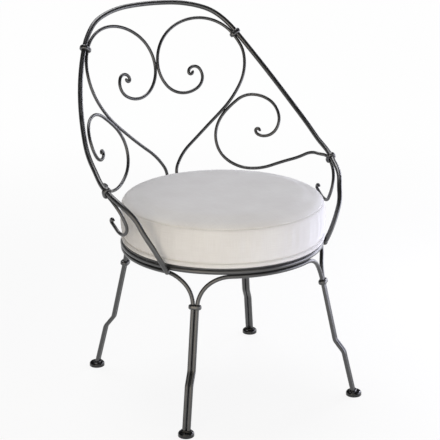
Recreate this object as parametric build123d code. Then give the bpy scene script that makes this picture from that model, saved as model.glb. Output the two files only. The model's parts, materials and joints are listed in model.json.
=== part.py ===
from build123d import *
import os
from math import asin, cos, degrees, radians, sin, sqrt, tan

# Garden armchair of bent steel rod with a round loose cushion.
# Millimetres, +Z up, the sitter faces -Y and +X is the viewer's right. The frame is drawn about the
# seat's upright axis, then moved so that the origin is under the middle of the whole chair.
# A bearing is an angle about the seat axis, 0 at the middle of the back and 90 at the right-hand arm.
# A rise is a height above the seat ring's centre line.

# Seat ring and seat plate
SEAT_HEIGHT = 371.0  # floor to the ring's centre line
SEAT_RADIUS = 241.0  # ring centre line
RING_ROD = 12.0
PLATE_THICKNESS = 2.0
PLATE_OVERLAP = 2.0  # how far the plate reaches past the ring's centre line
PLATE_HOLE = 18.0
PLATE_PITCH = 52.0  # between rows of holes
PLATE_ROWS = 4
WELD_GAP = 0.2  # between rods that lie against each other
END_ROUNDING = 0.3  # of a rod's diameter, at its cut ends

# Legs
LEG_ROD = 10.0
REAR_LEG_BEARING = 43.0
FRONT_LEG_BEARING = 135.5
ARCH_BEND = 76.0  # run of the ring over which an arch bends down into its leg
NECK_DROP = 84.0  # ring to leg collar
NECK_OUT = 11.0  # ring to the collar, outwards
KNEE_HEIGHT = 126.0  # floor to the middle of the jog
KNEE_RISE = 28.0
KNEE_STEP = 22.0  # sideways throw of the jog
KNEE_BEND = 20.0
KNEE_OUT = 44.0  # ring to the top of the jog, outwards
FOOT_OUT = 93.0  # ring to the foot, outwards
FOOT_DIAMETER = 38.0
FOOT_THICKNESS = 12.0
FOOT_SHOULDER = 6.0
FOOT_FLOOR = 4.0  # under the rod ends
FOOT_EDGE = 1.0
SOCKET_CLEARANCE = 0.2

# Surface that the back and the arms lie on: a flaring cone with oval level sections
WIDTH_FLARE = 0.345
WIDTH_FLARE_RISE = 26.0  # where the width leaves the ring's circle
BACK_RAKE = 0.289
BACK_RAKE_RISE = 92.0  # where the back leaves the ring's circle

# Hoop that is the back rail and both arms
HOOP_ROD = 12.0
BACK_RISE = 521.0  # ring to the top of the hoop
CREST_BEARING = 16.0
CREST_DROP = 9.0  # below the top of the hoop
CREST_SLOPE = -12.0
SHOULDER_BEARING = 25.2
SHOULDER_DROP = 34.0
SHOULDER_SLOPE = -33.0
SHOULDER_OUT = 2.0
UPPER_COLLAR_BEARING = 32.7
UPPER_COLLAR_DROP = 80.0
UPPER_COLLAR_SLOPE = -48.0
UPPER_COLLAR_OUT = 4.0
FLANK_BEARING = 56.0
FLANK_DROP = 225.0
FLANK_SLOPE = -42.5
ARM_BACK_BEARING = 76.0
ARM_BACK_LIFT = 42.0  # above the arm's collar
ARM_BACK_SLOPE = -34.0
ARM_BACK_OUT = 4.0
ARM_COLLAR_BEARING = 91.0
ARM_COLLAR_RISE = 168.0  # ring to the hoop in the arm's collar
ARM_COLLAR_SLOPE = -26.0
ARM_COLLAR_OUT = 11.0
ARM_FRONT_BEARING = 107.0
ARM_FRONT_DROP = 41.0  # below the arm's collar
ARM_FRONT_SLOPE = -41.0
ARM_FRONT_OUT = 13.0
ARM_LOW_BEARING = 114.9
ARM_LOW_DROP = 95.0
ARM_LOW_SLOPE = -62.0
ARM_LOW_OUT = 22.0
ARM_FOOT_BEARING = 119.0
ARM_FOOT_LEAN = 28.0  # inwards as it runs down on to the ring
ARM_FOOT_SWEEP = 15.0  # forwards as it runs down on to the ring
ARM_TAIL = 6.0  # past the ring's centre line

# Scrolls
SCROLL_ROD = 8.0
EYE_BEND = 5.2  # of the tight curl at each scroll's end
HEART_FOOT_OFFSET = 14.0  # of each rod from the middle of the back
HEART_FOOT_RISE = 77.0  # upright stretch above the ring
HEART_TAIL = 14.0  # past the ring's centre line
HEART_NECK_BEARING = 4.0
HEART_NECK_RISE = 124.0
HEART_NECK_SLOPE = 61.0
HEART_FLANK_BEARING = 19.6
HEART_FLANK_DROP = 314.0  # below the top of the hoop
HEART_FLANK_SLOPE = 43.0
HEART_TOUCH_BEARING = 28.2  # where the side scroll touches it
HEART_TOUCH_DROP = 268.0  # below the top of the hoop
HEART_TOUCH_SLOPE = 46.7
HEART_WIDE_BEARING = 36.3
HEART_WIDE_DROP = 137.0
HEART_WIDE_SLOPE = 102.3
HEART_TOP_BEARING = 18.0
HEART_TOP_DROP = 43.0
HEART_MIDDLE_DROP = 152.0  # where the two halves touch
HEART_LOBE_BEARING = 11.1
HEART_LOBE_DROP = 224.5
HEART_CURL_BEARING = 19.2
HEART_CURL_DROP = 184.0
HEART_CURL_SLOPE = 96.6
HEART_CURL_TOP_BEARING = 15.9
HEART_CURL_TOP_DROP = 161.0
HEART_EYE_BEARING = 13.5
HEART_EYE_DROP = 175.0
HEART_EYE_SLOPE = 274.7
HEART_EYE_TURN = 212.0  # how far the eye curls round

SIDE_EYE_BEARING = 44.2
SIDE_EYE_DROP = 53.0  # below the touch
SIDE_EYE_SLOPE = 284.9
SIDE_EYE_TURN = 213.0
SIDE_CURL_BEARING = 48.3
SIDE_CURL_DROP = 64.5
SIDE_OUTER_BEARING = 54.9
SIDE_OUTER_DROP = 13.0
SIDE_OUTER_SLOPE = 108.3
SIDE_TOP_BEARING = 41.2
SIDE_TOP_LIFT = 35.5  # above the touch
SIDE_INNER_BEARING = 24.8
SIDE_INNER_DROP = 77.0
SIDE_INNER_SLOPE = 278.5
SIDE_LOW_BEARING = 43.0
SIDE_LOW_RISE = 108.0
SIDE_WAVE_BEARING = 67.3
SIDE_WAVE_DROP = 25.0  # below the arm's collar
SIDE_WAVE_SLOPE = 21.0
SIDE_WAVE_OUT = -7.0
SIDE_CREST_BEARING = 82.7
SIDE_CREST_LIFT = 2.0  # above the arm's collar
SIDE_CREST_OUT = -6.0
HOOK_FRONT_BEARING = 100.5
HOOK_FRONT_DROP = 77.0
HOOK_FRONT_OUT = 14.0
HOOK_LOW_BEARING = 95.2
HOOK_LOW_DROP = 103.0
HOOK_LOW_OUT = 20.0
HOOK_EYE_BEARING = 86.0
HOOK_EYE_DROP = 85.0
HOOK_EYE_SLOPE = 149.0
HOOK_EYE_OUT = 17.0
HOOK_EYE_TURN = 230.0

# Collars
COLLAR_WALL = 5.0
COLLAR_LENGTH = 12.0
COLLAR_CLEARANCE = 0.3
COLLAR_ROUNDING = 4.5

# Cushion
CUSHION_GAP = 0.3  # between plate and cushion
CUSHION_FORWARD = 4.0  # in front of the seat axis, clear of the rods behind it
CUSHION_OVERHANG = 2.0  # of the seams past the ring's centre line
CUSHION_BULGE = 7.0  # of the side band past the seams
CUSHION_BAND = 81.0  # seam to seam
CUSHION_CROWN = 15.0  # of the top panel above the upper seam
CUSHION_SHOULDER = 26.0  # width of the top panel's rounded edge
CUSHION_SHOULDER_RISE = 11.0
CUSHION_BELLY = 14.0  # of the bottom panel below the lower seam
CUSHION_ROLL = 26.0  # width of the bottom panel's rounded edge
CUSHION_COVER = 1.6
CUSHION_EASE = 0.2  # between the cover's panels and round the foam

RING_TOP = SEAT_HEIGHT + RING_ROD / 2
ARCH_HEIGHT = SEAT_HEIGHT - RING_ROD / 2 - LEG_ROD / 2 - WELD_GAP
PANEL_RADIUS = SEAT_RADIUS + RING_ROD / 2 + SCROLL_ROD / 2 + WELD_GAP
ARM_FOOT_OFFSET = RING_ROD / 2 + HOOP_ROD / 2 + WELD_GAP
ARM_FOOT_RADIUS = SEAT_RADIUS + ARM_FOOT_OFFSET / cos(radians(ARM_FOOT_LEAN))
FOOT_RADIUS = SEAT_RADIUS + FOOT_OUT
TOUCH_RISE = BACK_RISE - HEART_TOUCH_DROP
CUSHION_SEAM_RADIUS = SEAT_RADIUS + CUSHION_OVERHANG
CUSHION_BOTTOM = RING_TOP + WELD_GAP / 2 + PLATE_THICKNESS + CUSHION_GAP
CUSHION_LOW_SEAM = CUSHION_BOTTOM + CUSHION_BELLY
CUSHION_TOP_SEAM = CUSHION_LOW_SEAM + CUSHION_BAND
LEG_BEARINGS = {
    "rear_right": REAR_LEG_BEARING,
    "front_right": FRONT_LEG_BEARING,
    "front_left": 360 - FRONT_LEG_BEARING,
    "rear_left": 360 - REAR_LEG_BEARING,
}
ARCH_BEARINGS = {
    "rear": (-REAR_LEG_BEARING, REAR_LEG_BEARING),
    "right": (REAR_LEG_BEARING, FRONT_LEG_BEARING),
    "front": (FRONT_LEG_BEARING, 360 - FRONT_LEG_BEARING),
    "left": (360 - FRONT_LEG_BEARING, 360 - REAR_LEG_BEARING),
}


def panel_width(height):
    """Half-width of the back's oval section at a height."""
    return PANEL_RADIUS + WIDTH_FLARE * (height - SEAT_HEIGHT - WIDTH_FLARE_RISE)


def panel_depth(height):
    """Distance from the seat axis to the middle of the back at a height."""
    return PANEL_RADIUS + BACK_RAKE * (height - SEAT_HEIGHT - BACK_RAKE_RISE)


def panel_point(bearing, height, out=0.0):
    """Point on the back's surface, or a little outside it."""
    across = (panel_width(height) + out) * sin(radians(bearing))
    behind = (panel_depth(height) + out) * cos(radians(bearing))
    return Vector(across, behind, height)


def on_panel(bearing, rise, slope, out=0.0):
    """Place and direction of a rod on the back: slope 0 runs towards the arm and 90 runs up."""
    height = SEAT_HEIGHT + rise
    turn = radians(bearing)
    around = Vector((panel_width(height) + out) * cos(turn), -(panel_depth(height) + out) * sin(turn), 0)
    upward = Vector(WIDTH_FLARE * sin(turn), BACK_RAKE * cos(turn), 1)
    direction = around.normalized() * cos(radians(slope)) + upward * sin(radians(slope))
    return panel_point(bearing, height, out), direction.normalized()


def polar(radius, bearing, height):
    """Point at a bearing and a distance from the seat axis."""
    return Vector(radius * sin(radians(bearing)), radius * cos(radians(bearing)), height)


def beside(place, slope_normal, distance):
    """Place of a rod that runs alongside another at a distance."""
    point, direction = place
    return point + slope_normal * distance, direction


def through_collar(place):
    """Both ends of the straight run of a rod through its collar."""
    point, direction = place
    half = direction * (COLLAR_LENGTH / 2)
    return [(point - half, direction), (point + half, direction)]


def bend(start, direction, end):
    """Arc that leaves start along a direction and reaches end, or a line if that is straight."""
    chord = end - start
    if chord.cross(direction).length < 1e-5 * chord.length:
        return Edge.make_line(start, end)
    return Edge.make_tangent_arc(start, direction, end)


def joined(first, second):
    """Two tangent arcs that lead from one place and direction to the next."""
    start, leaving = first
    end, arriving = second
    chord = end - start
    along = chord.dot(leaving + arriving)
    turn = 2 * (1 - leaving.dot(arriving))
    if turn < 1e-9:
        reach = chord.dot(chord) / (2 * along)
    else:
        reach = (sqrt(along * along + turn * chord.dot(chord)) - along) / turn
    first_corner = start + leaving * reach
    second_corner = end - arriving * reach
    middle = (first_corner + second_corner) * 0.5
    crossing = (second_corner - first_corner).normalized()
    return [bend(start, leaving, middle), bend(middle, crossing, end)]


def route(places):
    """Edges that lead smoothly through a row of places."""
    edges = []
    for first, second in zip(places, places[1:]):
        edges += joined(first, second)
    return edges


def rod(edges, diameter):
    """Round rod along a row of edges, with its ends' rims rounded off."""
    path = Wire(edges)
    section = Plane(origin=path @ 0, z_dir=path % 0) * Circle(diameter / 2)
    plain = sweep(section, path=path)
    ends = plain.faces().filter_by(GeomType.PLANE)
    return fillet(ends.edges(), diameter * END_ROUNDING)


def eye(place, side, whole_turn, way):
    """Places on the curl at a scroll's end, from the rod on. Way is 1 where the rod runs into it, or -1."""
    point, direction = place
    centre = point + side * EYE_BEND
    places = []
    for turn in (radians(whole_turn / 2), radians(whole_turn)):
        spoke = direction * (way * sin(turn)) - side * cos(turn)
        heading = direction * cos(turn) + side * (way * sin(turn))
        places.append((centre + spoke * EYE_BEND, heading))
    return places


def across(place, towards):
    """Direction square to a rod, in the surface, that points towards another point."""
    point, direction = place
    aim = towards - point
    return (aim - direction * aim.dot(direction)).normalized()


def mirrored(shape):
    """The same piece on the other side of the chair."""
    return mirror(shape, about=Plane.YZ)


# Places that rods share
UPPER_RISE = BACK_RISE - UPPER_COLLAR_DROP
HOOP_UPPER = on_panel(UPPER_COLLAR_BEARING, UPPER_RISE, UPPER_COLLAR_SLOPE, UPPER_COLLAR_OUT)
HOOP_ARM = on_panel(ARM_COLLAR_BEARING, ARM_COLLAR_RISE, ARM_COLLAR_SLOPE, ARM_COLLAR_OUT)
HEART_TOUCH = on_panel(HEART_TOUCH_BEARING, TOUCH_RISE, HEART_TOUCH_SLOPE)
HOOP_TO_SCROLL = HOOP_ROD / 2 + SCROLL_ROD / 2 + WELD_GAP
SCROLL_TO_SCROLL = SCROLL_ROD + WELD_GAP


def arm_foot():
    """Place where the right arm leans on to the ring, and where its end is."""
    inward = polar(-tan(radians(ARM_FOOT_LEAN)), ARM_FOOT_BEARING, -1)
    forward = polar(tan(radians(ARM_FOOT_SWEEP)), ARM_FOOT_BEARING + 90, 0)
    direction = (inward + forward).normalized()
    point = polar(ARM_FOOT_RADIUS, ARM_FOOT_BEARING, SEAT_HEIGHT)
    return [(point, direction), (point + direction * ARM_TAIL, direction)]


def hoop_half():
    """Places of the hoop from the middle of the back to the right arm's foot."""
    return [
        on_panel(0, BACK_RISE, 0),
        on_panel(CREST_BEARING, BACK_RISE - CREST_DROP, CREST_SLOPE),
        on_panel(SHOULDER_BEARING, BACK_RISE - SHOULDER_DROP, SHOULDER_SLOPE, SHOULDER_OUT),
        HOOP_UPPER,
        on_panel(FLANK_BEARING, BACK_RISE - FLANK_DROP, FLANK_SLOPE),
        on_panel(ARM_BACK_BEARING, ARM_COLLAR_RISE + ARM_BACK_LIFT, ARM_BACK_SLOPE, ARM_BACK_OUT),
        HOOP_ARM,
        on_panel(ARM_FRONT_BEARING, ARM_COLLAR_RISE - ARM_FRONT_DROP, ARM_FRONT_SLOPE, ARM_FRONT_OUT),
        on_panel(ARM_LOW_BEARING, ARM_COLLAR_RISE - ARM_LOW_DROP, ARM_LOW_SLOPE, ARM_LOW_OUT),
    ] + arm_foot()


def hoop_route():
    """The whole hoop, from the left arm's foot to the right arm's foot."""
    right = hoop_half()
    left = []
    for point, direction in reversed(right[1:]):
        there = Vector(-point.X, point.Y, point.Z)
        left.append((there, Vector(direction.X, -direction.Y, -direction.Z)))
    return route(left + right)


def heart_route():
    """Right heart scroll, from the ring up the back, round the heart's shoulder and into its eye."""
    foot_bearing = degrees(asin(HEART_FOOT_OFFSET / PANEL_RADIUS))
    up = Vector(0, 0, 1)
    foot = (polar(PANEL_RADIUS, foot_bearing, SEAT_HEIGHT - HEART_TAIL), up)
    stem = (polar(PANEL_RADIUS, foot_bearing, SEAT_HEIGHT + HEART_FOOT_RISE), up)
    inward = panel_point(0, SEAT_HEIGHT + BACK_RISE - HEART_WIDE_DROP)
    collar_point, collar_direction = beside(HOOP_UPPER, across(HOOP_UPPER, inward), HOOP_TO_SCROLL)
    middle_height = SEAT_HEIGHT + BACK_RISE - HEART_MIDDLE_DROP
    middle_bearing = degrees(asin(SCROLL_TO_SCROLL / 2 / panel_width(middle_height)))
    curl_top = on_panel(HEART_CURL_TOP_BEARING, BACK_RISE - HEART_CURL_TOP_DROP, 180)
    eye_start = on_panel(HEART_EYE_BEARING, BACK_RISE - HEART_EYE_DROP, HEART_EYE_SLOPE)
    eye_side = across(eye_start, curl_top[0])
    return route(
        [
            foot,
            stem,
            on_panel(HEART_NECK_BEARING, HEART_NECK_RISE, HEART_NECK_SLOPE),
            on_panel(HEART_FLANK_BEARING, BACK_RISE - HEART_FLANK_DROP, HEART_FLANK_SLOPE),
            HEART_TOUCH,
            on_panel(HEART_WIDE_BEARING, BACK_RISE - HEART_WIDE_DROP, HEART_WIDE_SLOPE),
            (collar_point, collar_direction * -1),
            on_panel(HEART_TOP_BEARING, BACK_RISE - HEART_TOP_DROP, 180),
            on_panel(middle_bearing, BACK_RISE - HEART_MIDDLE_DROP, 270),
            on_panel(HEART_LOBE_BEARING, BACK_RISE - HEART_LOBE_DROP, 0),
            on_panel(HEART_CURL_BEARING, BACK_RISE - HEART_CURL_DROP, HEART_CURL_SLOPE),
            curl_top,
            eye_start,
            *eye(eye_start, eye_side, HEART_EYE_TURN, 1),
        ]
    )


def side_route():
    """Right side scroll, from its eye round the loop, along under the arm and into the hook."""
    curl = on_panel(SIDE_CURL_BEARING, TOUCH_RISE - SIDE_CURL_DROP, 0)
    eye_start = on_panel(SIDE_EYE_BEARING, TOUCH_RISE - SIDE_EYE_DROP, SIDE_EYE_SLOPE)
    eye_side = across(eye_start, curl[0])
    side_of_heart = across(HEART_TOUCH, curl[0])
    touch_point, touch_direction = beside(HEART_TOUCH, side_of_heart, SCROLL_TO_SCROLL)
    hook_low = on_panel(HOOK_LOW_BEARING, ARM_COLLAR_RISE - HOOK_LOW_DROP, 180, HOOK_LOW_OUT)
    under_arm = across(HOOP_ARM, hook_low[0])
    collar = beside(HOOP_ARM, under_arm, HOOP_TO_SCROLL)
    hook_front = on_panel(HOOK_FRONT_BEARING, ARM_COLLAR_RISE - HOOK_FRONT_DROP, 270, HOOK_FRONT_OUT)
    hook_eye = on_panel(HOOK_EYE_BEARING, ARM_COLLAR_RISE - HOOK_EYE_DROP, HOOK_EYE_SLOPE, HOOK_EYE_OUT)
    return route(
        [
            *reversed(eye(eye_start, eye_side, SIDE_EYE_TURN, -1)),
            eye_start,
            curl,
            on_panel(SIDE_OUTER_BEARING, TOUCH_RISE - SIDE_OUTER_DROP, SIDE_OUTER_SLOPE),
            on_panel(SIDE_TOP_BEARING, TOUCH_RISE + SIDE_TOP_LIFT, 180),
            (touch_point, touch_direction * -1),
            on_panel(SIDE_INNER_BEARING, TOUCH_RISE - SIDE_INNER_DROP, SIDE_INNER_SLOPE),
            on_panel(SIDE_LOW_BEARING, SIDE_LOW_RISE, 0),
            on_panel(SIDE_WAVE_BEARING, ARM_COLLAR_RISE - SIDE_WAVE_DROP, SIDE_WAVE_SLOPE, SIDE_WAVE_OUT),
            on_panel(SIDE_CREST_BEARING, ARM_COLLAR_RISE + SIDE_CREST_LIFT, 0, SIDE_CREST_OUT),
            *through_collar(collar),
            hook_front,
            hook_low,
            hook_eye,
            *eye(hook_eye, across(hook_eye, hook_front[0]), HOOK_EYE_TURN, 1),
        ]
    )


def leg_points(bearing, side):
    """Corners of one leg rod from its foot to its collar, beside the leg's middle plane."""
    offset = LEG_ROD / 2 + WELD_GAP / 2
    sideways = Vector(cos(radians(bearing)), -sin(radians(bearing)), 0) * (offset * side)
    knee_out = SEAT_RADIUS + KNEE_OUT
    corners = [
        polar(FOOT_RADIUS, bearing, FOOT_FLOOR),
        polar(knee_out + KNEE_STEP, bearing, KNEE_HEIGHT - KNEE_RISE / 2),
        polar(knee_out, bearing, KNEE_HEIGHT + KNEE_RISE / 2),
        polar(SEAT_RADIUS + NECK_OUT, bearing, SEAT_HEIGHT - NECK_DROP),
    ]
    return [corner + sideways for corner in corners]


def leg_arch(start, end):
    """Rod that is half of the legs at two bearings, joined under the ring."""
    turned = degrees((ARCH_BEND + LEG_ROD / 2) / SEAT_RADIUS)
    first_leg = leg_points(start, 1)
    last_leg = leg_points(end, -1)[::-1]
    rising = (first_leg[-1] - first_leg[-2]).normalized()
    falling = (last_leg[1] - last_leg[0]).normalized()
    leaving = polar(SEAT_RADIUS, start + turned, ARCH_HEIGHT)
    halfway = polar(SEAT_RADIUS, (start + end) / 2, ARCH_HEIGHT)
    arriving = polar(SEAT_RADIUS, end - turned, ARCH_HEIGHT)
    onto_ring = polar(1, start + turned + 90, 0)
    off_ring = polar(1, end - turned + 90, 0)
    edges = list(FilletPolyline(*first_leg, radius=KNEE_BEND).edges())
    edges += joined((first_leg[-1], rising), (leaving, onto_ring))
    edges.append(Edge.make_three_point_arc(leaving, halfway, arriving))
    edges += joined((arriving, off_ring), (last_leg[0], falling))
    edges += list(FilletPolyline(*last_leg, radius=KNEE_BEND).edges())
    return rod(edges, LEG_ROD)


def collar(first, first_rod, second, second_rod, direction):
    """Half-round band bent tight round two rods that lie side by side."""
    apart = (second - first).length
    outline = {}
    for name, spare in (("inside", COLLAR_CLEARANCE), ("outside", COLLAR_CLEARANCE + COLLAR_WALL)):
        ends = Circle(first_rod / 2 + spare) + Pos(apart, 0) * Circle(second_rod / 2 + spare)
        outline[name] = make_hull(ends.edges())
    band = extrude(outline["outside"], COLLAR_LENGTH / 2, both=True)
    rims = band.edges().group_by(Axis.Z)
    band = fillet(rims[0] + rims[-1], COLLAR_ROUNDING)
    band -= extrude(outline["inside"], COLLAR_LENGTH, both=True)
    return Plane(origin=first, x_dir=second - first, z_dir=direction) * band


def leg_collar(bearing):
    """Collar that ties the two rods of a leg at its neck."""
    left, right = leg_points(bearing, -1), leg_points(bearing, 1)
    return collar(left[-1], LEG_ROD, right[-1], LEG_ROD, left[-1] - left[-2])


def upper_collar():
    """Right collar of hoop and heart scroll."""
    inward = across(HOOP_UPPER, panel_point(0, SEAT_HEIGHT + BACK_RISE - HEART_WIDE_DROP))
    point, direction = HOOP_UPPER
    return collar(point, HOOP_ROD, point + inward * HOOP_TO_SCROLL, SCROLL_ROD, direction)


def arm_collar():
    """Right collar of hoop and side scroll."""
    hook_low = panel_point(HOOK_LOW_BEARING, SEAT_HEIGHT + ARM_COLLAR_RISE - HOOK_LOW_DROP, HOOK_LOW_OUT)
    point, direction = HOOP_ARM
    below = across(HOOP_ARM, hook_low)
    return collar(point, HOOP_ROD, point + below * HOOP_TO_SCROLL, SCROLL_ROD, direction)


def foot(bearing):
    """Domed foot with a socket for both rods of its leg."""
    disc = Cylinder(FOOT_DIAMETER / 2, FOOT_THICKNESS, align=(Align.CENTER, Align.CENTER, Align.MIN))
    rims = disc.edges().sort_by(Axis.Z)
    disc = chamfer(rims[0], FOOT_EDGE)
    disc = fillet(disc.edges().group_by(Axis.Z)[-1], FOOT_SHOULDER)
    foot_centre = polar(FOOT_RADIUS, bearing, 0)
    pad = Pos(*foot_centre) * disc
    for side in (-1, 1):
        corners = leg_points(bearing, side)
        upward = (corners[1] - corners[0]).normalized()
        socket = Cylinder(
            LEG_ROD / 2 + SOCKET_CLEARANCE,
            2 * FOOT_THICKNESS,
            align=(Align.CENTER, Align.CENTER, Align.MIN),
        )
        seat = corners[0] - upward * SOCKET_CLEARANCE
        pad -= Plane(origin=seat, z_dir=upward) * socket
    return pad


def seat_ring():
    """Round rod that carries the seat."""
    return Pos(0, 0, SEAT_HEIGHT) * Torus(SEAT_RADIUS, RING_ROD / 2)


def seat_plate():
    """Round sheet on the ring, pierced in rings of holes."""
    outline = Circle(SEAT_RADIUS + PLATE_OVERLAP) - Circle(PLATE_HOLE / 2)
    holes = []
    for row in range(1, PLATE_ROWS + 1):
        holes += PolarLocations(row * PLATE_PITCH, 6 * row)
    outline -= [place * Circle(PLATE_HOLE / 2) for place in holes]
    return Pos(0, 0, RING_TOP + WELD_GAP / 2) * extrude(outline, PLATE_THICKNESS)


def cushion_section(inset):
    """Right half of the cushion's upright section, made smaller all round by an inset."""
    bottom = (0, CUSHION_BOTTOM)
    flat_end = (CUSHION_SEAM_RADIUS - CUSHION_ROLL, CUSHION_BOTTOM)
    lower_seam = (CUSHION_SEAM_RADIUS, CUSHION_LOW_SEAM)
    widest = (CUSHION_SEAM_RADIUS + CUSHION_BULGE, (CUSHION_LOW_SEAM + CUSHION_TOP_SEAM) / 2)
    upper_seam = (CUSHION_SEAM_RADIUS, CUSHION_TOP_SEAM)
    shoulder = (CUSHION_SEAM_RADIUS - CUSHION_SHOULDER, CUSHION_TOP_SEAM + CUSHION_SHOULDER_RISE)
    top = (0, CUSHION_TOP_SEAM + CUSHION_CROWN)
    crown = TangentArc(top, shoulder, tangent=(1, 0))
    half = make_face(
        [
            Line(bottom, flat_end),
            TangentArc(flat_end, lower_seam, tangent=(1, 0)),
            ThreePointArc(lower_seam, widest, upper_seam),
            TangentArc(shoulder, upper_seam, tangent=crown % 1),
            crown,
            Line(top, bottom),
        ]
    )
    if inset:
        whole = half + mirror(half, about=Plane.YZ)
        half = right_side(offset(whole, -inset, kind=Kind.INTERSECTION))
    return half


def right_side(face):
    """The part of a section to the right of the seat axis."""
    reach = 2 * CUSHION_TOP_SEAM
    return face & Rectangle(reach, reach, align=(Align.MIN, Align.MIN))


def slab(face, low, high):
    """The part of a section between two heights."""
    reach = 2 * CUSHION_SEAM_RADIUS
    return face & Pos(0, low) * Rectangle(reach, high - low, align=(Align.MIN, Align.MIN))


def turned(profile):
    """Solid of revolution about the cushion's own axis."""
    return Pos(0, -CUSHION_FORWARD, 0) * revolve(Plane.XZ * profile, Axis.Z)


def cushion_pieces():
    """Foam core and the three panels of its cover."""
    cover = cushion_section(0) - cushion_section(CUSHION_COVER)
    half_ease = CUSHION_EASE / 2
    top_of_all = CUSHION_TOP_SEAM + 2 * CUSHION_CROWN
    return {
        "cushion_foam": turned(cushion_section(CUSHION_COVER + CUSHION_EASE)),
        "cushion_top_panel": turned(slab(cover, CUSHION_TOP_SEAM + half_ease, top_of_all)),
        "cushion_side_band": turned(slab(cover, CUSHION_LOW_SEAM + half_ease, CUSHION_TOP_SEAM - half_ease)),
        "cushion_bottom_panel": turned(slab(cover, 0, CUSHION_LOW_SEAM - half_ease)),
    }


def chair_pieces():
    """Every piece of the chair by name, about the seat axis."""
    pieces = {"seat_ring": seat_ring(), "seat_plate": seat_plate()}
    for name, (start, end) in ARCH_BEARINGS.items():
        pieces[f"leg_arch_{name}"] = leg_arch(start, end)
    for name, bearing in LEG_BEARINGS.items():
        pieces[f"leg_collar_{name}"] = leg_collar(bearing)
        pieces[f"foot_{name}"] = foot(bearing)
    pieces["arm_hoop"] = rod(hoop_route(), HOOP_ROD)
    right_hand = {
        "heart_scroll": rod(heart_route(), SCROLL_ROD),
        "side_scroll": rod(side_route(), SCROLL_ROD),
        "upper_collar": upper_collar(),
        "arm_collar": arm_collar(),
    }
    for name, piece in right_hand.items():
        pieces[f"{name}_right"] = piece
        pieces[f"{name}_left"] = mirrored(piece)
    pieces.update(cushion_pieces())
    return pieces


def middle_of_depth():
    """How far the middle of the whole chair lies behind the seat axis."""
    back = panel_depth(SEAT_HEIGHT + BACK_RISE) + HOOP_ROD / 2
    front = FOOT_DIAMETER / 2 - FOOT_RADIUS * cos(radians(FRONT_LEG_BEARING))
    return (back - front) / 2


def main():
    os.makedirs("parts", exist_ok=True)
    to_origin = Pos(0, -middle_of_depth(), 0)
    for name, piece in chair_pieces().items():
        export_step(to_origin * piece, f"parts/{name}.step")


if __name__ == "__main__":
    main()
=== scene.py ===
"""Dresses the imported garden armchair: coated steel rod, moulded feet and a sewn round cushion."""

from __future__ import annotations

import json
import logging
import math
from dataclasses import dataclass
from enum import Enum

import bmesh
import bpy
import numpy as np
from bpy.types import Material, Mesh, Node, NodeSocket, NodeTree, Object
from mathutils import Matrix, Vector
from mathutils.kdtree import KDTree

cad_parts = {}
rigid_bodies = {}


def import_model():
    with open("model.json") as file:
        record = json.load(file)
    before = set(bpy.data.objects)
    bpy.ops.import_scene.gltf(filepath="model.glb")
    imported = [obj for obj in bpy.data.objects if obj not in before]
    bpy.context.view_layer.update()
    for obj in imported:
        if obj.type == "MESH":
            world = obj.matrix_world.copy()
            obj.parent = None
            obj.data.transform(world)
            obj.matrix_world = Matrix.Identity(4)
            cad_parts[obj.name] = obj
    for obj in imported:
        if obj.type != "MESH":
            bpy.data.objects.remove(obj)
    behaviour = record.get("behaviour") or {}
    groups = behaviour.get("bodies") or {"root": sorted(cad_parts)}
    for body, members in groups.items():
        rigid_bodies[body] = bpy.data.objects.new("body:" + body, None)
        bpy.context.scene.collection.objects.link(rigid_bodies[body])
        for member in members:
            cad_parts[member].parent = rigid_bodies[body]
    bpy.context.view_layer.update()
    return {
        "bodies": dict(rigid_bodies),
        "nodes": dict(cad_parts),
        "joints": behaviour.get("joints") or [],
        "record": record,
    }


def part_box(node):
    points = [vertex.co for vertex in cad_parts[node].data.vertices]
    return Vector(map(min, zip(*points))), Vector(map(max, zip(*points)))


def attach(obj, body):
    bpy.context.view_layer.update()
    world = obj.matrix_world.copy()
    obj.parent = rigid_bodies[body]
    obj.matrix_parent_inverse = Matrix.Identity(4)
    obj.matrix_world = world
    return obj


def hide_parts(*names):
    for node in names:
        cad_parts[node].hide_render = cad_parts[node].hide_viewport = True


log = logging.getLogger("garden_armchair")

MM = 0.001
TINY = 1e-9
SIDES = ("right", "left")
CORNERS = ("rear_right", "front_right", "front_left", "rear_left")
# Blender's wave texture turns its phase by 20 radians per unit of scaled length.
WAVE_PHASE_PER_UNIT = 20.0
# Most values of Blender's noise texture lie in this span.
NOISE_SPAN = (0.3, 0.7)
SENSOR_WIDTH_MM = 36.0


class Body(Enum):
    """The two CAD bodies that pieces ride on."""

    FRAME = "frame"
    CUSHION = "cushion"


class Slot(Enum):
    """The record's material slots, by name."""

    STEEL = "frame_steel"
    FOOT = "foot_plastic"
    COVER = "cushion_cover"


class Panel(Enum):
    """The three cut pieces of the cushion's cover, from below."""

    BOTTOM = 0
    BAND = 1
    TOP = 2


def linear(hex_colour: str) -> tuple[float, float, float, float]:
    """Turns an sRGB hex colour to linear RGBA.

    Args:
        hex_colour: The colour as "#rrggbb".

    Returns:
        Red, green, blue and alpha, as Blender's sockets take them.
    """
    parts = [int(hex_colour[i : i + 2], 16) / 255 for i in (1, 3, 5)]
    red, green, blue = (
        c / 12.92 if c <= 0.04045 else ((c + 0.055) / 1.055) ** 2.4 for c in parts
    )
    return red, green, blue, 1.0


def per_metre(size_mm: float) -> float:
    """Returns how many of a size, in millimetres, go into a metre."""
    return 1 / (size_mm * MM)


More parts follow.
